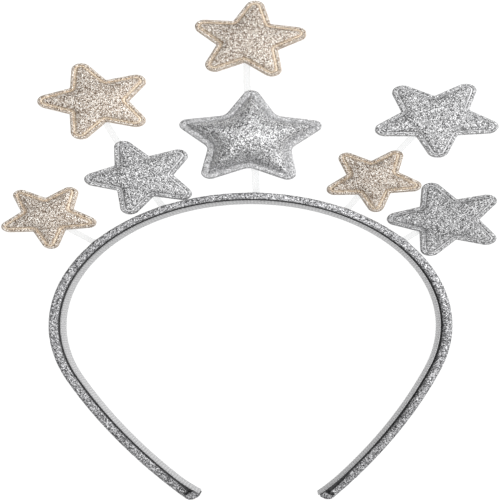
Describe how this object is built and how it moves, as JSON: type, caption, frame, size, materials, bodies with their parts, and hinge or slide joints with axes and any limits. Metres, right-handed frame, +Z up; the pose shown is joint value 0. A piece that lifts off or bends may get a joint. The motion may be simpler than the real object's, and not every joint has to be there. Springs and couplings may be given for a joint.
{
  "type": "star headband",
  "caption": "Springy hoop headband wrapped in silver glitter fabric, with a ribbed ribbon lining and padded silver and gold glitter stars that stand out above it on clear strips.",
  "frame": {"origin": "centre of the whole object's box, on the surface that it lies on", "axes": "+X across the hoop towards the right-hand stars, +Y from the hoop's tips towards the stars, +Z up from the surface, out of the stars' fronts"},
  "size_m": [0.182, 0.1818, 0.0134],
  "materials": {
    "silver_glitter": "coarse silver glitter on fabric, sparkling",
    "gold_glitter": "coarse champagne gold glitter on fabric, sparkling, with a tan pressed seam",
    "grey_ribbon": "light grey cross-ribbed ribbon, satin",
    "clear_plastic": "clear, smooth and glossy"
  },
  "bodies": {
    "root": {"band": "silver_glitter", "lining_ribbon": "grey_ribbon", "strip_low_left": "clear_plastic", "strip_left": "clear_plastic", "strip_centre": "clear_plastic", "strip_right": "clear_plastic", "strip_low_right": "clear_plastic", "star_gold_top": "gold_glitter", "star_gold_left": "gold_glitter", "star_gold_low_left": "gold_glitter", "star_gold_right": "gold_glitter", "star_silver_left": "silver_glitter", "star_silver_right": "silver_glitter", "star_silver_low_right": "silver_glitter", "star_silver_centre": "silver_glitter"}
  },
  "joints": []
}
